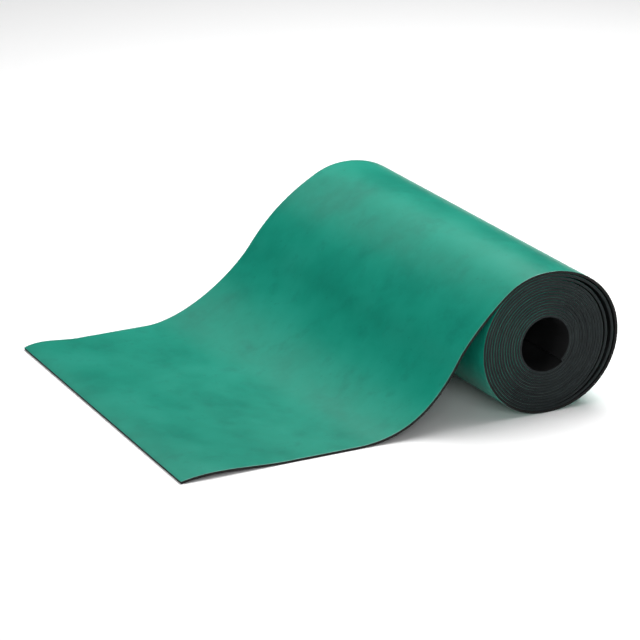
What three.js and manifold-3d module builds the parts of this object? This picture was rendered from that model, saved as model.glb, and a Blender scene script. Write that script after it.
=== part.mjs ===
// An anti-static bench mat: one two-layer rubber sheet, rolled up and lying on its side, with its
// leading end let down over the roll and run out flat in front of it.
//
// Millimetres, +Z up. The roll's axis lies along Y and the run-out sheet points to -X. The origin is
// on the floor, under the centre of the model's bounding box. The mat is one piece of stock, so it is
// one solid: a roll body with its bore, and the sheet that leaves it. The turns show on both ends as
// a spiral groove; deeper inside, the roll is solid.

import * as THREE from "three";
import { mergeVertices } from "three/addons/utils/BufferGeometryUtils.js";
import Module from "manifold-3d";

const SHEET_WIDTH = 300;
const SHEET_THICKNESS = 2;

// The roll. Angles are in degrees from +X towards +Z, and the strip winds outwards in that direction.
const BORE_RADIUS = 19.4;
const TURN_GAP = 0.18;
const WHOLE_TURNS = 15;
const STRIP_START_ANGLE = 312;
const LEAVE_ANGLE = 118;

// The roll has eased open on the side away from the run-out: evenly over all its turns, and more
// between the outer ones, whose gaps are given outermost first.
const EVEN_LOOSENESS = 1.5;
const LOOSE_GAPS = [1.6, 3, 1.3];
const LOOSE_HALF_SPREAD = 95;

const GROOVE_DEPTH = 6;

// The way from the roll to the free end, at the sheet's two edges. The sheet is steepest at the knee,
// which is as high as the roll's centre, and reaches the floor at the foot; both are measured from the
// roll's side. It rests there for a stretch, then arches up off the floor with what is left of the
// roll's curl, and comes down on its tip. The bends say how far a curve's handles reach, as shares of
// the stretch between its two ends.
const NEAR_EDGE = {
  upperBend: 0.225,
  kneeReach: 19.1,
  kneeSlope: 59.7,
  lowerBend: 0.406,
  footReach: 103.7,
  restRun: 54,
  archRun: 87,
  tipSlope: 11.6,
};
const FAR_EDGE = {
  upperBend: 0.363,
  kneeReach: 28.2,
  kneeSlope: 53.6,
  lowerBend: 0.296,
  footReach: 118.5,
  restRun: 58.7,
  archRun: 45.3,
  tipSlope: 19.5,
};
const ARCH_BEND = 1 / 3;

const OUTLINE_STEP = 5;
const BORE_STEP = 15;
const GROOVE_STEP = 12;
const BEND_POINTS = 12;

const GREEN = new THREE.Color(0x37967d);
const ROUGHNESS = 0.55;

const degrees = THREE.MathUtils.degToRad;
const turnPitch = SHEET_THICKNESS + TURN_GAP;
const turns = WHOLE_TURNS + THREE.MathUtils.euclideanModulo(LEAVE_ANGLE - STRIP_START_ANGLE, 360) / 360;

// How far the turn at this place along the strip stands off the tight spiral.
function slackAt(turn) {
  const fromOutside = Math.max(0, Math.ceil(turns - turn) - 1);
  const angle = THREE.MathUtils.euclideanModulo(STRIP_START_ANGLE + 360 * turn + 180, 360) - 180;
  if (Math.abs(angle) >= LOOSE_HALF_SPREAD) return 0;
  const open = Math.cos((Math.PI / 2) * (angle / LOOSE_HALF_SPREAD)) ** 2;
  const wideGaps = LOOSE_GAPS.slice(fromOutside).reduce((sum, gap) => sum + gap, 0);
  return open * (wideGaps + EVEN_LOOSENESS * (turn / turns));
}

// A point on the strip inside the roll: `height` is 0 on its inner face and the thickness on its outer.
function rollPoint(turn, height) {
  const radius = BORE_RADIUS + turnPitch * turn + slackAt(turn) + height;
  const angle = degrees(STRIP_START_ANGLE + 360 * turn);
  return new THREE.Vector2(radius * Math.cos(angle), radius * Math.sin(angle));
}

// Points along the strip from one turn to another, both ends included.
function rollPoints(fromTurn, toTurn, height, stepAngle) {
  const steps = Math.round(Math.abs(toTurn - fromTurn) * (360 / stepAngle));
  return Array.from({ length: steps + 1 }, (_, i) =>
    rollPoint(THREE.MathUtils.lerp(fromTurn, toTurn, i / steps), height),
  );
}

const outerTurn = rollPoints(turns - 1, turns, SHEET_THICKNESS, OUTLINE_STEP);
const rollSide = outerTurn.at(-1).length();
const centreHeight = -Math.min(...outerTurn.map((point) => point.y));
const floor = -centreHeight;

// A smooth bend between two points, each with the direction in which the sheet passes it.
function bend(start, startHeading, end, endHeading, share) {
  const handle = share * start.distanceTo(end);
  return new THREE.CubicBezierCurve(
    start,
    start.clone().addScaledVector(startHeading, handle),
    end.clone().addScaledVector(endHeading, -handle),
    end,
  );
}

// The direction of a sheet that runs out towards -X and slopes down by so many degrees.
function downhill(slope) {
  return new THREE.Vector2(-Math.cos(degrees(slope)), -Math.sin(degrees(slope)));
}

// Points on the sheet's green face and on its black face, from the roll to the free end.
function sheetFaces(edge) {
  const leave = rollPoint(turns, SHEET_THICKNESS);
  const leaveHeading = new THREE.Vector2(-leave.y, leave.x).normalize();
  const knee = new THREE.Vector2(-rollSide - edge.kneeReach, 0);
  const foot = new THREE.Vector2(-rollSide - edge.footReach, floor + SHEET_THICKNESS);
  const lift = new THREE.Vector2(foot.x - edge.restRun, foot.y);
  const tipHeading = downhill(edge.tipSlope);
  const tip = new THREE.Vector2(lift.x - edge.archRun, floor - SHEET_THICKNESS * tipHeading.x);
  const stretches = [
    { curve: bend(leave, leaveHeading, knee, downhill(edge.kneeSlope), edge.upperBend), points: BEND_POINTS },
    { curve: bend(knee, downhill(edge.kneeSlope), foot, downhill(0), edge.lowerBend), points: BEND_POINTS },
    { curve: new THREE.LineCurve(foot, lift), points: 1 },
    { curve: bend(lift, downhill(0), tip, tipHeading, ARCH_BEND), points: BEND_POINTS },
  ];

  const top = [];
  const underside = [];
  const addPoint = (point, heading) => {
    const inward = new THREE.Vector2(-heading.y, heading.x);
    top.push(point);
    underside.push(point.clone().addScaledVector(inward, SHEET_THICKNESS));
  };
  addPoint(leave, leaveHeading);
  for (const { curve, points } of stretches) {
    for (let i = 1; i <= points; i += 1) {
      addPoint(curve.getPoint(i / points), curve.getTangent(i / points));
    }
  }
  return { top, underside };
}

// The mat's section at one edge: once round the roll, out along the black face, back along the green.
function matOutline(edge) {
  const { top, underside } = sheetFaces(edge);
  const roll = outerTurn.slice(0, -1).reverse();
  return [...roll, ...underside, ...top.reverse()];
}

// The bore, with the step where the strip's inner end lies on the second turn.
function boreOutline() {
  return rollPoints(0, 1, 0, BORE_STEP);
}

// A closed solid between two sections with matching points, one at each end of a stretch of Y. Seen
// from -Y, with +X to the right, a section runs clockwise and a hole the other way.
function loft(nearSection, farSection, holes, nearY, farY) {
  const nearLoops = [nearSection, ...holes];
  const farLoops = [farSection, ...holes];
  const nearPoints = nearLoops.flat();
  const farPoints = farLoops.flat();
  const count = nearPoints.length;
  const positions = [
    ...nearPoints.flatMap((point) => [point.x, nearY, point.y]),
    ...farPoints.flatMap((point) => [point.x, farY, point.y]),
  ];
  const faces = [];
  for (const [a, b, c] of THREE.ShapeUtils.triangulateShape(nearSection, holes)) {
    faces.push(a, b, c);
  }
  for (const [a, b, c] of THREE.ShapeUtils.triangulateShape(farSection, holes)) {
    faces.push(count + a, count + c, count + b);
  }
  let first = 0;
  for (const loop of nearLoops) {
    for (let i = 0; i < loop.length; i += 1) {
      const here = first + i;
      const next = first + ((i + 1) % loop.length);
      faces.push(here, next, count + here);
      faces.push(next, count + next, count + here);
    }
    first += loop.length;
  }
  const geometry = new THREE.BufferGeometry();
  geometry.setAttribute("position", new THREE.Float32BufferAttribute(positions, 3));
  geometry.setIndex(faces);
  return geometry;
}

// The gap between the turns, as an outline that follows the strip from near the bore to near the
// outside. It stops one step short at both ends, so that the roll stays one solid.
function grooveOutline() {
  const shortStop = GROOVE_STEP / 360;
  const innerWall = rollPoints(shortStop, turns - 1 - shortStop, SHEET_THICKNESS, GROOVE_STEP);
  const outerWall = rollPoints(turns - shortStop, 1 + shortStop, 0, GROOVE_STEP);
  return [...innerWall, ...outerWall];
}

const wasm = await Module();
wasm.setup();

function toSolid(geometry) {
  const bare = geometry.clone();
  bare.deleteAttribute("normal");
  bare.deleteAttribute("uv");
  const merged = mergeVertices(bare, 1e-4);
  return new wasm.Manifold(
    new wasm.Mesh({
      numProp: 3,
      vertProperties: new Float32Array(merged.attributes.position.array),
      triVerts: new Uint32Array(merged.index.array),
    }),
  );
}

function toGeometry(solid) {
  const mesh = solid.getMesh();
  const geometry = new THREE.BufferGeometry();
  geometry.setAttribute("position", new THREE.BufferAttribute(mesh.vertProperties, 3));
  geometry.setIndex(new THREE.BufferAttribute(mesh.triVerts, 1));
  geometry.computeVertexNormals();
  return geometry;
}

function benchMatGeometry() {
  const halfWidth = SHEET_WIDTH / 2;
  const body = loft(matOutline(NEAR_EDGE), matOutline(FAR_EDGE), [boreOutline()], -halfWidth, halfWidth);
  const groove = grooveOutline();
  const endClearance = 1;
  const nearGroove = loft(groove, groove, [], -halfWidth - endClearance, -halfWidth + GROOVE_DEPTH);
  const farGroove = loft(groove, groove, [], halfWidth - GROOVE_DEPTH, halfWidth + endClearance);
  return toGeometry(toSolid(body).subtract(toSolid(nearGroove)).subtract(toSolid(farGroove)));
}

const benchMat = new THREE.Mesh(
  benchMatGeometry(),
  new THREE.MeshStandardMaterial({ color: GREEN, roughness: ROUGHNESS, metalness: 0 }),
);
benchMat.name = "bench_mat";
benchMat.geometry.computeBoundingBox();
const box = benchMat.geometry.boundingBox;
benchMat.position.set(-(box.min.x + box.max.x) / 2, 0, -floor);

const part = new THREE.Group();
part.name = "anti_static_bench_mat";
part.add(benchMat);

export default part;
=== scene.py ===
"""An anti-static bench mat in Blender: two-layer rubber, rolled up, with its end run out in front.

Metres, in the frame of the CAD model. The strip is described once, by its inner face along its
length, from the end inside the bore to the free end on the floor. Geometry Nodes sweep the sheet's
section along it, so every turn of the roll is there, with the gap to the next.
"""

from __future__ import annotations

import logging
import math
from dataclasses import dataclass, field
from enum import Enum

import bpy
import numpy as np
from mathutils import Euler, Matrix, Vector


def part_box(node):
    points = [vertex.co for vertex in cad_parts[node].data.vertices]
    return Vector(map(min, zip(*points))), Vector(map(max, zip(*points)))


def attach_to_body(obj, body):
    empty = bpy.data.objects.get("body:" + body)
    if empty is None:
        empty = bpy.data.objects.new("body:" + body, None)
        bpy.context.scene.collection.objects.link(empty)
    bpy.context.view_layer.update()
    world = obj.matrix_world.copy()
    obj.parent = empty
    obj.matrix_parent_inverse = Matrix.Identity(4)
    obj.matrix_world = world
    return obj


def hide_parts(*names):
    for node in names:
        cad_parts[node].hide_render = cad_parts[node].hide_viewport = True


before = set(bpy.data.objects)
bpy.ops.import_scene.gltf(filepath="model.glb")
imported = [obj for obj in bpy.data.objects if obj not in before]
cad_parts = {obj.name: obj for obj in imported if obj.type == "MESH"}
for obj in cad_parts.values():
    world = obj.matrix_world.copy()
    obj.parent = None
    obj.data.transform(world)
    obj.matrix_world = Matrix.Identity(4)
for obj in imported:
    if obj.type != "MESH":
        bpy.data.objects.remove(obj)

log = logging.getLogger("bench_mat")
MM = 0.001
NODE = "bench_mat"
PIECE = "anti_static_mat"
FULL_TURN = 360.0

Socket = bpy.types.NodeSocket
Colour = tuple[float, float, float, float]
Range = tuple[float, float]
Point = tuple[float, float, float]

# Where most of a noise node's values lie.
NOISE_RANGE: Range = (0.3, 0.7)


class Layer(Enum):
    """The parts of the sheet that look different, by the name of their input in the node tree."""

    GREEN = "Green face"
    BLACK = "Black face"
    CUT = "Cut edge"


class End(Enum):
    """The strip's two ends, by their index along it."""

    BORE = 0
    FREE = -1


@dataclass(frozen=True)
class Noise:
    """A noise: its features per metre, its octaves, and the share that each octave keeps."""

    scale: float
    detail: float
    roughness: float


@dataclass(frozen=True)
class Cover:
    """How much of a colour shows: none where a noise is at the start, and the most at the end."""

    most: float
    start: float
    end: float


@dataclass(frozen=True)
class Relief:
    """How strongly a noise stands out as bump, and how deep it is in metres."""

    strength: float
    depth: float


class Shader:
    """A Principled material under construction, with the few nodes that these rubbers need."""

    def __init__(self, name: str) -> None:
        """Starts an empty material.

        Args:
            name: The material's name.
        """
        self.material = bpy.data.materials.new(name)
        self.material.use_nodes = True
        self.tree = self.material.node_tree
        self.surface = self.tree.nodes["Principled BSDF"]

    def link(self, source: Socket, target: Socket) -> None:
        """Joins two sockets."""
        self.tree.links.new(source, target)

    def feed(self, name: str, source: Socket) -> None:
        """Joins a socket to one of the surface's inputs."""
        self.link(source, self.surface.inputs[name])

    def keep(self, name: str, value: float | Colour) -> None:
        """Sets one of the surface's inputs to a constant."""
        self.surface.inputs[name].default_value = value

    def attribute(self, name: str) -> Socket:
        """Reads a number that the mesh carries.

        Args:
            name: The attribute's name.

        Returns:
            The number.
        """
        node = self.tree.nodes.new("ShaderNodeAttribute")
        node.attribute_name = name
        return node.outputs["Fac"]

    def noise(self, noise: Noise, along: Socket | None = None) -> Socket:
        """A noise in object space, or one that changes along one number only.

        Args:
            noise: The noise.
            along: The number, such as the distance along the strip.

        Returns:
            The noise value, 0 to 1.
        """
        node = self.tree.nodes.new("ShaderNodeTexNoise")
        node.inputs["Scale"].default_value = noise.scale
        node.inputs["Detail"].default_value = noise.detail
        node.inputs["Roughness"].default_value = noise.roughness
        if along is not None:
            node.noise_dimensions = "1D"
            self.link(along, node.inputs["W"])
            return node.outputs["Fac"]
        place = self.tree.nodes.new("ShaderNodeTexCoord")
        self.link(place.outputs["Object"], node.inputs["Vector"])
        return node.outputs["Fac"]

    def ramp(self, value: Socket, places: tuple, colours: tuple) -> Socket:
        """A colour ramp.

        Args:
            value: What drives it.
            places: Where its colours lie; a new ramp has two of them.
            colours: Its colours.

        Returns:
            The colour.
        """
        node = self.tree.nodes.new("ShaderNodeValToRGB")
        elements = node.color_ramp.elements
        for place in places[2:]:
            elements.new(place)
        for element, place, colour in zip(elements, places, colours):
            element.position = place
            element.color = colour
        self.link(value, node.inputs["Fac"])
        return node.outputs["Color"]

    def mix(self, share: Socket, base: Socket, top: Colour) -> Socket:
        """Lays a colour over another.

        Args:
            share: How much of the top colour shows.
            base: The colour under it.
            top: The colour laid over.

        Returns:
            The mixed colour.
        """
        node = self.tree.nodes.new("ShaderNodeMix")
        node.data_type = "RGBA"
        self.link(share, node.inputs["Factor"])
        self.link(base, node.inputs["A"])
        node.inputs["B"].default_value = top
        return node.outputs["Result"]

    def span(self, value: Socket, target: Range, source: Range = NOISE_RANGE) -> Socket:
        """Maps a value from one range onto another.

        Args:
            value: The value.
            target: The range that comes out.
            source: The range that goes in.

        Returns:
            The mapped value.
        """
        node = self.tree.nodes.new("ShaderNodeMapRange")
        node.inputs["From Min"].default_value, node.inputs["From Max"].default_value = source
        node.inputs["To Min"].default_value, node.inputs["To Max"].default_value = target
        self.link(value, node.inputs["Value"])
        return node.outputs["Result"]

    def cover(self, noise: Socket, cover: Cover) -> Socket:
        """How much of a colour shows where a noise has some value."""
        return self.span(noise, (0.0, cover.most), (cover.start, cover.end))

    def times(self, first: Socket, second: Socket) -> Socket:
        """Multiplies two values.

        Args:
            first: The first value.
            second: The second value.

        Returns:
            The product.
        """
        node = self.tree.nodes.new("ShaderNodeMath")
        node.operation = "MULTIPLY"
        self.link(first, node.inputs[0])
        self.link(second, node.inputs[1])
        return node.outputs["Value"]

    def bump(self, layers: list[tuple[Socket, Relief]]) -> None:
        """Chains bump nodes into the surface.

        Args:
            layers: The noises, each with its relief.
        """
        normal = None
        for height, relief in layers:
            node = self.tree.nodes.new("ShaderNodeBump")
            node.inputs["Strength"].default_value = relief.strength
            node.inputs["Distance"].default_value = relief.depth
            self.link(height, node.inputs["Height"])
            if normal is not None:
                self.link(normal, node.inputs["Normal"])
            normal = node.outputs["Normal"]
        self.feed("Normal", normal)


@dataclass(frozen=True)
class GreenRubber:
    """The dissipative working layer: satin green, softly clouded, with a fine calendered grain."""

    name: str = "green_working_layer"
    deep: Colour = (0.0040, 0.186, 0.129, 1.0)
    mid: Colour = (0.0052, 0.224, 0.155, 1.0)
    dusty: Colour = (0.0100, 0.252, 0.180, 1.0)
    smudge: Colour = (0.0030, 0.150, 0.108, 1.0)
    pale_rim: Colour = (0.150, 0.340, 0.285, 1.0)
    tone_places: tuple = (0.32, 0.52, 0.72)
    clouds: Noise = Noise(17.0, 5.0, 0.60)
    mottling: Noise = Noise(95.0, 4.0, 0.60)
    smudges: Noise = Noise(52.0, 7.0, 0.68)
    specks: Noise = Noise(300.0, 1.0, 0.50)
    grain: Noise = Noise(1500.0, 3.0, 0.55)
    mottling_cover: Cover = Cover(0.45, 0.45, 0.75)
    smudge_cover: Cover = Cover(0.55, 0.54, 0.72)
    speck_cover: Cover = Cover(0.50, 0.72, 0.78)
    rim_paling: Range = (0.45, 1.0)
    roughness: Range = (0.28, 0.37)
    grain_relief: Relief = Relief(0.12, 0.00005)
    mottling_relief: Relief = Relief(0.05, 0.0004)
    specular: float = 0.22

    def build(self) -> bpy.types.Material:
        """Makes the material.

        Returns:
            The node material.
        """
        shader = Shader(self.name)
        clouds = shader.noise(self.clouds)
        mottling = shader.noise(self.mottling)
        smudges = shader.cover(shader.noise(self.smudges), self.smudge_cover)
        specks = shader.cover(shader.noise(self.specks), self.speck_cover)
        tone = shader.ramp(clouds, self.tone_places, (self.deep, self.mid, self.dusty))
        mottled = shader.mix(shader.cover(mottling, self.mottling_cover), tone, self.dusty)
        smudged = shader.mix(smudges, mottled, self.smudge)
        specked = shader.mix(specks, smudged, self.smudge)
        # A paler, greyer green on the green face next to its edges, on the outermost turn and the
        # run-out, stronger where the mottling is.
        rim = shader.times(shader.attribute("rim"), shader.attribute("handled"))
        pale_edge = shader.times(rim, shader.span(mottling, self.rim_paling))
        shader.feed("Base Color", shader.mix(pale_edge, specked, self.pale_rim))
        shader.feed("Roughness", shader.span(clouds, self.roughness))
        grain = shader.noise(self.grain)
        shader.bump([(grain, self.grain_relief), (mottling, self.mottling_relief)])
        shader.keep("Specular IOR Level", self.specular)
        return shader.material


@dataclass(frozen=True)
class BlackRubber:
    """The conductive backing: near black, matt, a little dusty."""

    name: str = "black_backing"
    dark: Colour = (0.0045, 0.0047, 0.0050, 1.0)
    light: Colour = (0.0120, 0.0125, 0.0132, 1.0)
    tone_places: tuple = (0.30, 0.75)
    clouds: Noise = Noise(60.0, 5.0, 0.60)
    grain: Noise = Noise(1200.0, 3.0, 0.60)
    roughness: Range = (0.55, 0.72)
    grain_relief: Relief = Relief(0.25, 0.0001)
    specular: float = 0.20

    def build(self) -> bpy.types.Material:
        """Makes the material.

        Returns:
            The node material.
        """
        shader = Shader(self.name)
        clouds = shader.noise(self.clouds)
        tone = shader.ramp(clouds, self.tone_places, (self.dark, self.light))
        shader.feed("Base Color", tone)
        shader.feed("Roughness", shader.span(clouds, self.roughness))
        shader.bump([(shader.noise(self.grain), self.grain_relief)])
        shader.keep("Specular IOR Level", self.specular)
        return shader.material


@dataclass(frozen=True)
class CutRubber:
    """The cut edges: charcoal backing, and a thin green line that the knife has greyed.

    The line comes and goes along the strip, some turns are paler than others, and the outermost
    turn and the run-out are the darkest, from handling.
    """

    name: str = "cut_edge"
    dark: Colour = (0.0070, 0.0100, 0.0106, 1.0)
    light: Colour = (0.0205, 0.0278, 0.0288, 1.0)
    line: Colour = (0.0480, 0.0680, 0.0620, 1.0)
    handled: Colour = (0.0105, 0.0098, 0.0098, 1.0)
    tone_places: tuple = (0.30, 0.75)
    line_band: Range = (0.82, 0.88)
    clouds: Noise = Noise(240.0, 4.0, 0.60)
    turn_tones: Noise = Noise(3.4, 2.0, 0.50)
    line_gaps: Noise = Noise(26.0, 3.0, 0.50)
    saw_marks: Noise = Noise(1500.0, 2.0, 0.60)
    turn_darkening: Range = (0.70, 0.0)
    line_cover: Cover = Cover(1.0, 0.36, 0.66)
    roughness: Range = (0.55, 0.70)
    saw_relief: Relief = Relief(0.30, 0.0001)
    specular: float = 0.15

    def build(self) -> bpy.types.Material:
        """Makes the material.

        Returns:
            The node material.
        """
        shader = Shader(self.name)
        run = shader.attribute("run")
        clouds = shader.noise(self.clouds)
        charcoal = shader.ramp(clouds, self.tone_places, (self.dark, self.light))
        darkening = shader.span(shader.noise(self.turn_tones, run), self.turn_darkening)
        toned = shader.mix(darkening, charcoal, self.dark)
        in_line = shader.span(shader.attribute("layer"), (0.0, 1.0), self.line_band)
        unbroken = shader.cover(shader.noise(self.line_gaps, run), self.line_cover)
        lined = shader.mix(shader.times(in_line, unbroken), toned, self.line)
        finished = shader.mix(shader.attribute("handled"), lined, self.handled)
        shader.feed("Base Color", finished)
        shader.feed("Roughness", shader.span(clouds, self.roughness))
        shader.bump([(shader.noise(self.saw_marks), self.saw_relief)])
        shader.keep("Specular IOR Level", self.specular)
        return shader.material


@dataclass(frozen=True)
class EdgeRun:
    """How the sheet lies from the roll to the free end along one edge: millimetres and degrees."""

    upper_bend: float
    knee_reach: float
    knee_slope: float
    lower_bend: float
    foot_reach: float
    rest_run: float
    arch_run: float
    tip_slope: float


@dataclass
class EdgeLine:
    """The strip along one edge: points on its inner face, and at each the way to the green face."""

    points: np.ndarray
    outward: np.ndarray

    def close(self, end: End, depths: np.ndarray, rounding: float) -> None:
        """Adds the stations that round over and close one of the two ends.

        Args:
            end: Which end.
            depths: How far inside the end the added stations lie, from the outside in.
            rounding: How far inside it the sheet has its full thickness.
        """
        neighbour = 1 if end is End.BORE else -2
        inward = self.points[neighbour] - self.points[end.value]
        inward = inward / np.linalg.norm(inward)
        cap = self.points[end.value] + np.outer(depths, inward)
        cap_outward = np.repeat(self.outward[end.value][None], len(depths), axis=0)
        self.points[end.value] += inward * rounding
        self.points = attach(cap, self.points, end)
        self.outward = attach(cap_outward, self.outward, end)


def attach(cap: np.ndarray, rows: np.ndarray, end: End) -> np.ndarray:
    """Puts the rows of a cap, given from the outside in, on one end of the strip's rows."""
    return np.concatenate([cap, rows] if end is End.BORE else [rows, cap[::-1]])


@dataclass
class Strip:
    """The rubber strip's shape: its sizes, and the line that it follows from bore to free end.

    Everything is in millimetres and degrees here, in the plane across the roll's axis, with the
    roll's centre at the origin. The sizes are those of the CAD model.
    """

    width: float = 300.0
    thickness: float = 2.0
    bore_radius: float = 19.4
    turn_gap: float = 0.18
    whole_turns: int = 15
    start_angle: float = 312.0
    leave_angle: float = 118.0
    even_looseness: float = 1.5
    loose_gaps: tuple = (1.6, 3.0, 1.3)
    loose_half_spread: float = 95.0
    near: EdgeRun = EdgeRun(0.225, 19.1, 59.7, 0.406, 103.7, 54.0, 87.0, 11.6)
    far: EdgeRun = EdgeRun(0.363, 28.2, 53.6, 0.296, 118.5, 58.7, 45.3, 19.5)
    arch_bend: float = 1.0 / 3.0
    step_angle: float = 5.0
    bend_points: int = 28
    rest_points: int = 6
    end_rounding: float = 0.25
    cap_depths: tuple = (0.0, 0.0, 0.25)
    cap_fullness: tuple = (0.0, 0.86, 0.95)
    turn_tolerance: float = 1e-9
    near_line: EdgeLine = field(init=False)
    far_line: EdgeLine = field(init=False)
    fullness: np.ndarray = field(init=False)
    centre_height: float = field(init=False)
    reach: float = field(init=False)

    def __post_init__(self) -> None:
        """Works out the two edge lines, and how full the sheet is along them."""
        roll = self.roll_line()
        self.centre_height = -float(self.green_face(roll)[:, 1].min())
        near = self.run_out(self.near)
        self.reach = -float(self.green_face(near)[:, 0].min())
        self.near_line = self.join(roll, near)
        self.far_line = self.join(roll, self.run_out(self.far))
        self.fullness = np.ones(len(self.near_line.points))
        for end in End:
            for line in (self.near_line, self.far_line):
                depths = np.array(self.cap_depths) * self.end_rounding
                line.close(end, depths, self.end_rounding)
            self.fullness = attach(np.array(self.cap_fullness), self.fullness, end)

    @property
    def turns(self) -> float:
        """Turns from the strip's inner end to where the sheet leaves the roll."""
        part_turn = (self.leave_angle - self.start_angle) % FULL_TURN
        return self.whole_turns + part_turn / FULL_TURN

    @property
    def origin(self) -> np.ndarray:
        """The roll's centre in the CAD model's frame, as x and height in metres."""
        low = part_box(NODE)[0]
        return np.array([low[0] + self.reach * MM, low[2] + self.centre_height * MM])

    def green_face(self, line: EdgeLine) -> np.ndarray:
        """The points on the green face over those of a line."""
        return line.points + line.outward * self.thickness

    def join(self, roll: EdgeLine, run_out: EdgeLine) -> EdgeLine:
        """Puts the run-out behind the roll, whose last point it repeats."""
        points = np.vstack([roll.points[:-1], run_out.points])
        return EdgeLine(points, np.vstack([roll.outward[:-1], run_out.outward]))

    def slack(self, turn: float) -> float:
        """How far the strip stands off the tight spiral.

        Args:
            turn: The place along the strip, in turns from its inner end.

        Returns:
            The distance in millimetres.
        """
        from_outside = max(0, math.ceil(self.turns - turn - self.turn_tolerance) - 1)
        half_turn = FULL_TURN / 2
        angle = (self.start_angle + FULL_TURN * turn + half_turn) % FULL_TURN - half_turn
        if abs(angle) >= self.loose_half_spread:
            return 0.0
        opening = math.cos(math.pi / 2 * angle / self.loose_half_spread) ** 2
        wide_gaps = sum(self.loose_gaps[from_outside:])
        return opening * (wide_gaps + self.even_looseness * turn / self.turns)

    def roll_point(self, turn: float) -> np.ndarray:
        """A point on the strip's inner face.

        Args:
            turn: The place along the strip, in turns from its inner end.

        Returns:
            The point as x and height.
        """
        pitch = self.thickness + self.turn_gap
        radius = self.bore_radius + pitch * turn + self.slack(turn)
        angle = math.radians(self.start_angle + FULL_TURN * turn)
        return radius * np.array([math.cos(angle), math.sin(angle)])

    def roll_line(self) -> EdgeLine:
        """The strip inside the roll.

        Returns:
            The line, which is the same at both edges.
        """
        steps = round(self.turns * FULL_TURN / self.step_angle)
        places = np.linspace(0.0, self.turns, steps + 1)
        points = np.array([self.roll_point(turn) for turn in places])
        return EdgeLine(points, points / np.linalg.norm(points, axis=1, keepdims=True))

    def run_out(self, edge: EdgeRun) -> EdgeLine:
        """The strip from the roll to the free end, along one edge.

        It comes down in an S-bend that is steepest at the knee, rests on the floor from the foot
        to where it lifts, then arches and comes down on its tip.

        Args:
            edge: The edge's sizes.

        Returns:
            The line.
        """
        leave = self.roll_point(self.turns)
        radial = leave / np.linalg.norm(leave)
        start = leave + radial * self.thickness
        side = float(np.linalg.norm(start))
        heading = np.array([-radial[1], radial[0]])
        level = self.downhill(0.0)
        steep = self.downhill(edge.knee_slope)
        tip_heading = self.downhill(edge.tip_slope)
        knee = np.array([-side - edge.knee_reach, 0.0])
        foot = np.array([-side - edge.foot_reach, self.thickness - self.centre_height])
        lift = foot + level * edge.rest_run
        tip_height = -self.thickness * tip_heading[0] - self.centre_height
        tip = np.array([lift[0] - edge.arch_run, tip_height])
        rest = foot + (lift - foot) * np.linspace(0.0, 1.0, self.rest_points + 1)[:, None]
        stretches = [
            self.bend(start, heading, knee, steep, edge.upper_bend),
            self.bend(knee, steep, foot, level, edge.lower_bend)[1:],
            rest[1:],
            self.bend(lift, level, tip, tip_heading, self.arch_bend)[1:],
        ]
        top = np.vstack(stretches)
        along = np.gradient(top, axis=0)
        along[0] = heading
        along[-1] = tip_heading
        along /= np.linalg.norm(along, axis=1, keepdims=True)
        outward = np.stack([along[:, 1], -along[:, 0]], axis=1)
        return EdgeLine(top - outward * self.thickness, outward)

    def downhill(self, slope: float) -> np.ndarray:
        """The direction of a sheet that runs out towards -X and slopes down by so many degrees."""
        return np.array([-math.cos(math.radians(slope)), -math.sin(math.radians(slope))])

    def bend(
        self, start: np.ndarray, out: np.ndarray, end: np.ndarray, into: np.ndarray, share: float
    ) -> np.ndarray:
        """A smooth bend between two points.

        Args:
            start: Where it starts.
            out: The heading there.
            end: Where it ends.
            into: The heading there.
            share: How far the handles reach, as a share of the distance.

        Returns:
            The points, both ends included.
        """
        reach = share * np.linalg.norm(end - start)
        first = start + out * reach
        second = end - into * reach
        t = np.linspace(0.0, 1.0, self.bend_points + 1)[:, None]
        u = 1 - t
        return u**3 * start + 3 * t * u**2 * first + 3 * t**2 * u * second + t**3 * end


@dataclass
class SheetSection:
    """The section across the sheet's width: a loop of distances from the near edge, and heights."""

    width: float
    thickness: float
    corner: float = 0.18
    seam: float = 1.5
    rows: tuple = (1.0, 3.0, 8.0, 20.0, 50.0, 90.0, 130.0)

    def loop(self) -> np.ndarray:
        """Walks once round the section.

        Returns:
            Points in millimetres: across, and height over the black face.
        """
        width = self.width
        thick = self.thickness
        corner = self.corner
        cut = corner * (1 - math.sqrt(0.5))
        half = [corner, *self.rows]
        across = half + [width - row for row in reversed(half)]
        side = [
            (cut, cut),
            (0.0, corner),
            (0.0, self.seam),
            (0.0, thick - corner),
            (cut, thick - cut),
        ]
        bottom = [(row, 0.0) for row in across]
        far_side = [(width - inset, height) for inset, height in side]
        top = [(row, thick) for row in reversed(across)]
        points = bottom + far_side + top + side[::-1]
        return np.array(points + points[:1])


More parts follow.
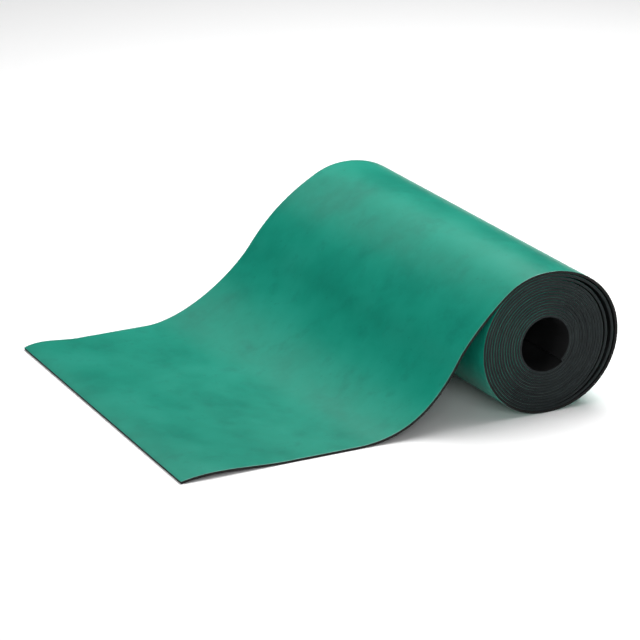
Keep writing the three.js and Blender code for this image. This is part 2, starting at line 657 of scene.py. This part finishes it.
class NodeTree:
    """A Geometry Nodes tree under construction."""

    def __init__(self, name: str) -> None:
        """Starts a tree with a geometry output.

        Args:
            name: The tree's name.
        """
        self.tree = bpy.data.node_groups.new(name, "GeometryNodeTree")
        self.tree.interface.new_socket(
            "Geometry", in_out="OUTPUT", socket_type="NodeSocketGeometry"
        )
        self.inputs = self.tree.nodes.new("NodeGroupInput")
        self.output = self.tree.nodes.new("NodeGroupOutput")
        self.identifiers: dict[str, str] = {}

    def add_inputs(self, names: tuple[str, ...], kind: str) -> None:
        """Adds named inputs.

        Args:
            names: The inputs' names.
            kind: Their socket type.
        """
        for name in names:
            socket = self.tree.interface.new_socket(name, in_out="INPUT", socket_type=kind)
            self.identifiers[name] = socket.identifier

    def given(self, name: str) -> Socket:
        """The socket of a named input."""
        return self.inputs.outputs[name]

    def node(self, kind: str, **settings: str) -> bpy.types.Node:
        """Adds a node.

        Args:
            kind: The node's type.
            **settings: Properties to set on it.

        Returns:
            The node.
        """
        node = self.tree.nodes.new(kind)
        for name, value in settings.items():
            setattr(node, name, value)
        return node

    def connect(self, value: object, socket: Socket) -> None:
        """Feeds an input.

        Args:
            value: A socket or a constant; None leaves the input alone.
            socket: The input.
        """
        if isinstance(value, Socket):
            self.tree.links.new(value, socket)
        elif value is not None:
            socket.default_value = value

    def math(self, operation: str, *values: Socket | float) -> Socket:
        """A math node.

        Args:
            operation: What it does.
            *values: One to three values.

        Returns:
            The result.
        """
        node = self.node("ShaderNodeMath", operation=operation)
        for socket, value in zip(node.inputs, values):
            self.connect(value, socket)
        return node.outputs[0]

    def vector(self, operation: str, first: Socket, second: Socket | None = None) -> Socket:
        """A vector math node.

        Args:
            operation: What it does.
            first: The first vector.
            second: The second, if any.

        Returns:
            The resulting vector.
        """
        node = self.node("ShaderNodeVectorMath", operation=operation)
        self.connect(first, node.inputs[0])
        self.connect(second, node.inputs[1])
        return node.outputs[0]

    def scaled(self, vector: Socket, scale: Socket) -> Socket:
        """A vector times a number.

        Args:
            vector: The vector.
            scale: The number.

        Returns:
            The scaled vector.
        """
        node = self.node("ShaderNodeVectorMath", operation="SCALE")
        self.connect(vector, node.inputs["Vector"])
        self.connect(scale, node.inputs["Scale"])
        return node.outputs["Vector"]

    def blend(self, near: Socket, far: Socket, share: Socket) -> Socket:
        """A vector between two others.

        Args:
            near: The vector at share 0.
            far: The vector at share 1.
            share: How far it is from near to far.

        Returns:
            The vector.
        """
        return self.vector("ADD", near, self.scaled(self.vector("SUBTRACT", far, near), share))

    def sample(self, geometry: Socket, value: Socket, index: Socket, kind: str) -> Socket:
        """Reads a value at a vertex of another mesh.

        Args:
            geometry: The mesh.
            value: The field to read.
            index: The vertex.
            kind: FLOAT or FLOAT_VECTOR.

        Returns:
            The value read.
        """
        node = self.node("GeometryNodeSampleIndex", data_type=kind, domain="POINT")
        self.connect(geometry, node.inputs["Geometry"])
        self.connect(value, node.inputs["Value"])
        self.connect(index, node.inputs["Index"])
        return node.outputs["Value"]

    def attribute(self, name: str, kind: str = "FLOAT") -> Socket:
        """Reads a named attribute.

        Args:
            name: Its name.
            kind: FLOAT or FLOAT_VECTOR.

        Returns:
            The attribute.
        """
        node = self.node("GeometryNodeInputNamedAttribute", data_type=kind)
        node.inputs["Name"].default_value = name
        return node.outputs["Attribute"]

    def store(self, geometry: Socket, name: str, value: Socket) -> Socket:
        """Stores a number on the points.

        Args:
            geometry: The mesh.
            name: The attribute's name.
            value: The number.

        Returns:
            The mesh with the attribute.
        """
        node = self.node("GeometryNodeStoreNamedAttribute", data_type="FLOAT", domain="POINT")
        node.inputs["Name"].default_value = name
        self.connect(geometry, node.inputs["Geometry"])
        self.connect(value, node.inputs["Value"])
        return node.outputs["Geometry"]

    def paint(self, geometry: Socket, layer: Layer, faces: Socket | None = None) -> Socket:
        """Gives faces the finish of a layer.

        Args:
            geometry: The mesh.
            layer: The layer, whose material is an input of the tree.
            faces: Which faces, or all where it is None.

        Returns:
            The dressed mesh.
        """
        node = self.node("GeometryNodeSetMaterial")
        self.connect(geometry, node.inputs["Geometry"])
        self.connect(faces, node.inputs["Selection"])
        self.connect(self.given(layer.value), node.inputs["Material"])
        return node.outputs["Geometry"]

    def read_object(self, name: str) -> Socket:
        """Reads the object that an input holds.

        Args:
            name: The input's name.

        Returns:
            The object's geometry.
        """
        node = self.node("GeometryNodeObjectInfo")
        self.connect(self.given(name), node.inputs["Object"])
        return node.outputs["Geometry"]


def guide_object(
    name: str, points: np.ndarray, vectors: dict[str, np.ndarray], values: dict[str, np.ndarray]
) -> bpy.types.Object:
    """A mesh of loose points that a node tree reads.

    Args:
        name: The object's name.
        points: The points, in metres.
        vectors: Vector attributes by name.
        values: Number attributes by name.

    Returns:
        The object.
    """
    mesh = bpy.data.meshes.new(name)
    mesh.from_pydata([tuple(point) for point in points], [], [])
    kinds = (("FLOAT_VECTOR", "vector", vectors), ("FLOAT", "value", values))
    for kind, field_name, arrays in kinds:
        for key, array in arrays.items():
            layer = mesh.attributes.new(key, kind, "POINT")
            layer.data.foreach_set(field_name, array.astype(np.float32).ravel())
    return link_object(name, mesh)


def link_object(name: str, data: bpy.types.ID) -> bpy.types.Object:
    """Makes an object and puts it in the scene.

    Args:
        name: The object's name.
        data: Its mesh, light or camera.

    Returns:
        The object.
    """
    made = bpy.data.objects.new(name, data)
    bpy.context.scene.collection.objects.link(made)
    return made


@dataclass
class BenchMat:
    """The mat: the strip's section swept along its line by Geometry Nodes, and dressed."""

    strip: Strip
    seed: float = 4.0
    edge_wander: float = 0.30
    wander_scale: float = 5.4
    wander_octaves: float = 2.0
    rim_width: float = 1.0
    handled_fade: float = 45.0
    ramp_excess: float = 0.5
    side_share: float = 0.4
    cap_limit: float = 0.93
    merge_distance: float = 1e-6

    def build(self) -> bpy.types.Object:
        """Makes the mat as a plain mesh in the frame of the CAD model.

        Returns:
            The finished piece.
        """
        section = SheetSection(self.strip.width, self.strip.thickness)
        outline = section.loop()
        guides = {
            "Line": self.line_guide(),
            "Section": guide_object(
                "section_guide", np.c_[outline, np.zeros(len(outline))] * MM, {}, {}
            ),
        }
        counts = {"Stations": len(self.strip.near_line.points), "Section points": len(outline)}
        mesh = self.sweep({**guides, **counts, **self.sizes(section), **self.finishes()})
        for guide in guides.values():
            bpy.data.objects.remove(guide, do_unlink=True)
        mesh.name = PIECE
        mesh.shade_smooth()
        return link_object(PIECE, mesh)

    def sizes(self, section: SheetSection) -> dict[str, float]:
        """The sizes that the node tree is given.

        Args:
            section: The sheet's section.

        Returns:
            The sizes in metres, by the name of their input.
        """
        return {
            "Width": section.width * MM,
            "Thickness": section.thickness * MM,
            "Seam height": section.seam * MM,
            "Corner": section.corner * MM,
            "Rim width": self.rim_width * MM,
            "Edge wander": self.edge_wander * MM,
            "Wander scale": self.wander_scale,
            "Seed": self.seed,
        }

    def finishes(self) -> dict[str, bpy.types.Material]:
        """Makes the materials of the three layers.

        Returns:
            The materials by the name of their input.
        """
        return {
            Layer.GREEN.value: GreenRubber().build(),
            Layer.BLACK.value: BlackRubber().build(),
            Layer.CUT.value: CutRubber().build(),
        }

    def sweep(self, values: dict[str, object]) -> bpy.types.Mesh:
        """Runs the node tree once.

        Args:
            values: The tree's inputs by name.

        Returns:
            The result as a plain mesh.
        """
        tree = self.sweep_tree(values)
        holder = link_object("mat_holder", bpy.data.meshes.new("mat_holder"))
        modifier = holder.modifiers.new("sweep", "NODES")
        modifier.node_group = tree.tree
        for name, value in values.items():
            modifier[tree.identifiers[name]] = value
        depsgraph = bpy.context.evaluated_depsgraph_get()
        depsgraph.update()
        mesh = bpy.data.meshes.new_from_object(holder.evaluated_get(depsgraph))
        bpy.data.objects.remove(holder, do_unlink=True)
        return mesh

    def line_guide(self) -> bpy.types.Object:
        """The strip's line at its near and its far edge, as one mesh of points.

        Returns:
            The guide object: the near edge's points first, then the far edge's.
        """
        strip = self.strip
        half = strip.width / 2 * MM
        rows = []
        outs = []
        for line, y in ((strip.near_line, -half), (strip.far_line, half)):
            place = strip.origin + line.points * MM
            out = line.outward
            rows.append(np.c_[place[:, 0], np.full(len(place), y), place[:, 1]])
            outs.append(np.c_[out[:, 0], np.zeros(len(out)), out[:, 1]])
        steps = np.linalg.norm(np.diff(strip.near_line.points, axis=0), axis=1)
        run = np.concatenate([[0.0], np.cumsum(steps)]) * MM
        last_turn = np.searchsorted(run, run[-1] - self.handled_length() * MM)
        fade = round(self.handled_fade / strip.step_angle)
        handled = np.clip((np.arange(len(run)) - last_turn) / fade, 0.0, 1.0)
        log.info("strip %.3f m long, %d turns", run[-1], int(strip.turns))
        values = {"fullness": strip.fullness, "run": run, "handled": handled}
        both = {name: np.tile(array, 2) for name, array in values.items()}
        return guide_object("line_guide", np.vstack(rows), {"outward": np.vstack(outs)}, both)

    def handled_length(self) -> float:
        """How much of the strip is its outermost turn and its run-out.

        Returns:
            The length in millimetres.
        """
        strip = self.strip
        outer_radius = float(np.linalg.norm(strip.roll_point(strip.turns)))
        floor_run = strip.near.foot_reach + strip.near.rest_run + strip.near.arch_run
        return 2 * math.pi * outer_radius + floor_run + outer_radius * self.ramp_excess

    def sweep_tree(self, values: dict[str, object]) -> NodeTree:
        """The tree that sweeps the section along the line.

        Args:
            values: What its inputs will be given, by name.

        Returns:
            The node tree with its named inputs.
        """
        tree = NodeTree("sweep_sheet")
        tree.add_inputs(("Line", "Section"), "NodeSocketObject")
        tree.add_inputs(("Stations", "Section points"), "NodeSocketInt")
        tree.add_inputs(tuple(self.size_names(values)), "NodeSocketFloat")
        tree.add_inputs(tuple(layer.value for layer in Layer), "NodeSocketMaterial")
        line = tree.read_object("Line")
        grid = tree.node("GeometryNodeMeshGrid")
        tree.connect(tree.given("Stations"), grid.inputs["Vertices X"])
        tree.connect(tree.given("Section points"), grid.inputs["Vertices Y"])

        # The grid's vertices go once round the section at a station, then on to the next station.
        index = tree.node("GeometryNodeInputIndex").outputs["Index"]
        points = tree.given("Section points")
        station = tree.math("FLOOR", tree.math("DIVIDE", tree.math("ADD", index, 0.5), points))
        spot = tree.math("SUBTRACT", index, tree.math("MULTIPLY", station, points))
        across, level = self.section_point(tree, spot)
        fullness, run, handled = (
            tree.sample(line, tree.attribute(name), station, "FLOAT")
            for name in ("fullness", "run", "handled")
        )

        # Towards an end the section closes up on the middle of its thickness.
        middle = tree.math("MULTIPLY", tree.given("Thickness"), 0.5)
        from_middle = tree.math("SUBTRACT", level, middle)
        height = tree.math("MULTIPLY_ADD", from_middle, fullness, middle)
        setter = tree.node("GeometryNodeSetPosition")
        tree.connect(grid.outputs["Mesh"], setter.inputs["Geometry"])
        place = self.swept_point(tree, line, station, across, height)
        place = tree.vector("ADD", place, self.wander(tree, run))
        tree.connect(place, setter.inputs["Position"])

        inset = self.inset(tree, across)
        rim = tree.math("SUBTRACT", 1.0, tree.math("DIVIDE", inset, tree.given("Rim width")))
        stored = setter.outputs["Geometry"]
        for name, value in (
            ("run", run),
            ("handled", handled),
            ("layer", tree.math("DIVIDE", height, tree.given("Thickness"))),
            ("rim", tree.math("MAXIMUM", rim, 0.0)),
            ("inset", inset),
            ("section_height", level),
            ("fullness", fullness),
        ):
            stored = tree.store(stored, name, value)
        merged = tree.node("GeometryNodeMergeByDistance")
        merged.inputs["Distance"].default_value = self.merge_distance
        tree.connect(stored, merged.inputs["Geometry"])
        realized = tree.node("GeometryNodeRealizeInstances")
        tree.connect(merged.outputs["Geometry"], realized.inputs["Geometry"])
        dressed = self.dress(tree, realized.outputs["Geometry"])
        tree.connect(dressed, tree.output.inputs["Geometry"])
        return tree

    def size_names(self, values: dict[str, object]) -> list[str]:
        """The names of the inputs that are plain sizes."""
        return [name for name, value in values.items() if isinstance(value, float)]

    def section_point(self, tree: NodeTree, spot: Socket) -> tuple[Socket, Socket]:
        """Reads a point of the section.

        Args:
            tree: The tree under construction.
            spot: Which point.

        Returns:
            Its distance from the near edge, and its height over the black face.
        """
        section = tree.read_object("Section")
        position = tree.node("GeometryNodeInputPosition").outputs["Position"]
        parts = tree.node("ShaderNodeSeparateXYZ")
        tree.connect(tree.sample(section, position, spot, "FLOAT_VECTOR"), parts.inputs["Vector"])
        return parts.outputs["X"], parts.outputs["Y"]

    def swept_point(
        self, tree: NodeTree, line: Socket, station: Socket, across: Socket, height: Socket
    ) -> Socket:
        """Where a point of the section comes to lie at a station of the strip.

        Args:
            tree: The tree under construction.
            line: The line guide's geometry.
            station: The station.
            across: The point's distance from the near edge.
            height: Its height over the black face.

        Returns:
            The place.
        """
        far_station = tree.math("ADD", station, tree.given("Stations"))
        share = tree.math("DIVIDE", across, tree.given("Width"))
        position = tree.node("GeometryNodeInputPosition").outputs["Position"]
        outward = tree.attribute("outward", "FLOAT_VECTOR")
        on_face, direction = (
            tree.blend(
                tree.sample(line, value, station, "FLOAT_VECTOR"),
                tree.sample(line, value, far_station, "FLOAT_VECTOR"),
                share,
            )
            for value in (position, outward)
        )
        direction = tree.vector("NORMALIZE", direction)
        return tree.vector("ADD", on_face, tree.scaled(direction, height))

    def inset(self, tree: NodeTree, across: Socket) -> Socket:
        """How far a point of the section lies from the nearer edge.

        Args:
            tree: The tree under construction.
            across: The point's distance from the near edge.

        Returns:
            The distance.
        """
        half_width = tree.math("MULTIPLY", tree.given("Width"), 0.5)
        from_middle = tree.math("ABSOLUTE", tree.math("SUBTRACT", across, half_width))
        return tree.math("SUBTRACT", half_width, from_middle)

    def wander(self, tree: NodeTree, run: Socket) -> Socket:
        """A slow sideways drift of the strip, so that the turns' ends aren't quite flush.

        Args:
            tree: The tree under construction.
            run: The distance along the strip.

        Returns:
            The offset vector.
        """
        noise = tree.node("ShaderNodeTexNoise", noise_dimensions="2D")
        where = tree.node("ShaderNodeCombineXYZ")
        tree.connect(tree.math("MULTIPLY", run, tree.given("Wander scale")), where.inputs["X"])
        tree.connect(tree.given("Seed"), where.inputs["Y"])
        tree.connect(where.outputs["Vector"], noise.inputs["Vector"])
        noise.inputs["Scale"].default_value = 1.0
        noise.inputs["Detail"].default_value = self.wander_octaves
        both_ways = tree.math("MULTIPLY_ADD", noise.outputs["Fac"], 2.0, -1.0)
        offset = tree.node("ShaderNodeCombineXYZ")
        drift = tree.math("MULTIPLY", both_ways, tree.given("Edge wander"))
        tree.connect(drift, offset.inputs["Y"])
        return offset.outputs["Vector"]

    def dress(self, tree: NodeTree, geometry: Socket) -> Socket:
        """Gives the faces their finish: the green face, the black face, the cut edges and ends.

        Args:
            tree: The tree under construction.
            geometry: The mesh, with its attributes stored.

        Returns:
            The dressed mesh.
        """
        seam = tree.given("Seam height")
        in_green = tree.math("GREATER_THAN", tree.attribute("section_height"), seam)
        side_band = tree.math("MULTIPLY", tree.given("Corner"), self.side_share)
        on_side = tree.math("LESS_THAN", tree.attribute("inset"), side_band)
        on_cap = tree.math("LESS_THAN", tree.attribute("fullness"), self.cap_limit)
        dressed = tree.paint(geometry, Layer.BLACK)
        dressed = tree.paint(dressed, Layer.GREEN, in_green)
        return tree.paint(dressed, Layer.CUT, tree.math("MAXIMUM", on_side, on_cap))


@dataclass(frozen=True)
class Camera:
    """The photograph's view: its lens, its angle, and where the roll's near centre shows."""

    aim: Point
    focal_pixels: float = 4500.0
    image_pixels: float = 640.0
    sensor: float = 36.0
    elevation: float = 19.685
    azimuth: float = -29.31
    roll: float = 0.455
    depth: float = 3.2754
    aim_pixel: Range = (546.23, 343.67)
    far_limit: float = 50.0

    def build(self) -> None:
        """Makes the camera and makes it the scene's."""
        data = bpy.data.cameras.new("photo_camera")
        data.sensor_width = self.sensor
        data.lens = self.focal_pixels / self.image_pixels * self.sensor
        data.clip_end = self.far_limit
        camera = link_object("photo_camera", data)
        tilt = math.radians(90 - self.elevation)
        turn = Euler((tilt, 0.0, math.radians(self.azimuth)), "XYZ").to_matrix()
        turn = turn @ Matrix.Rotation(math.radians(self.roll), 3, "Z")
        half = self.image_pixels / 2
        offset_x = (self.aim_pixel[0] - half) / self.focal_pixels * self.depth
        offset_y = -(self.aim_pixel[1] - half) / self.focal_pixels * self.depth
        camera.rotation_euler = turn.to_euler("XYZ")
        camera.location = Vector(self.aim) - turn @ Vector((offset_x, offset_y, -self.depth))
        bpy.context.scene.camera = camera


@dataclass(frozen=True)
class SoftBox:
    """A large soft light, aimed at the mat."""

    name: str
    place: Point
    size: Range
    watts: float
    target: Point = (0.0, 0.0, 0.05)

    def build(self) -> None:
        """Adds the light."""
        data = bpy.data.lights.new(self.name, "AREA")
        data.shape = "RECTANGLE"
        data.size, data.size_y = self.size
        data.energy = self.watts
        light = link_object(self.name, data)
        light.location = self.place
        beam = Vector(self.target) - Vector(self.place)
        light.rotation_euler = beam.to_track_quat("-Z", "Y").to_euler()


@dataclass(frozen=True)
class Studio:
    """A plain pale floor, soft light from above and in front, and a plain dim sky."""

    floor_size: float = 30.0
    floor_colour: Colour = (0.95, 0.95, 0.95, 1.0)
    floor_roughness: float = 0.9
    floor_specular: float = 0.1
    sky: Colour = (1.0, 1.0, 1.0, 1.0)
    sky_strength: float = 0.04
    lights: tuple[SoftBox, ...] = (
        SoftBox("overhead", (0.42, 0.15, 0.95), (0.8, 0.8), 14.4),
        SoftBox("ceiling", (0.20, 0.20, 4.50), (6.0, 6.0), 80.0, (0.2, 0.2, 0.0)),
        SoftBox("front_fill", (-0.60, -1.90, 0.90), (1.4, 1.0), 17.0),
        SoftBox("left_low", (-1.70, -0.60, 0.35), (1.2, 0.6), 7.0),
        SoftBox("back_sheen", (0.35, 1.45, 1.15), (1.6, 0.35), 2.8),
    )

    def build(self) -> None:
        """Makes the floor, the lights and the surroundings."""
        self.build_floor()
        self.build_sky()
        for light in self.lights:
            light.build()
        bpy.context.scene.view_settings.view_transform = "Standard"

    def build_floor(self) -> None:
        """Makes the floor."""
        half = self.floor_size / 2
        corners = [(-half, -half, 0), (half, -half, 0), (half, half, 0), (-half, half, 0)]
        mesh = bpy.data.meshes.new("studio_floor")
        mesh.from_pydata(corners, [], [(0, 1, 2, 3)])
        surface = Shader("pale_floor")
        surface.keep("Base Color", self.floor_colour)
        surface.keep("Roughness", self.floor_roughness)
        surface.keep("Specular IOR Level", self.floor_specular)
        mesh.materials.append(surface.material)
        floor = link_object("studio_floor", mesh)

    def build_sky(self) -> None:
        """Makes the plain surroundings."""
        world = bpy.data.worlds.new("studio_sky")
        world.use_nodes = True
        background = world.node_tree.nodes["Background"]
        background.inputs["Color"].default_value = self.sky
        background.inputs["Strength"].default_value = self.sky_strength
        bpy.context.scene.world = world


def main() -> None:
    """Builds the camera, the studio and the mat, hangs the mat on the root body and hides the CAD
    part.
    """
    logging.basicConfig(level=logging.INFO, format="%(name)s: %(message)s")
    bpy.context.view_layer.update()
    strip = Strip()
    centre_x, centre_z = strip.origin
    Camera(aim=(centre_x, -strip.width / 2 * MM, centre_z)).build()
    Studio().build()
    mat = BenchMat(strip).build()
    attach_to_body(mat, "root")
    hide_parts(NODE)
    log.info("mat: %d faces", len(mat.data.polygons))


if __name__ == "__main__":
    main()
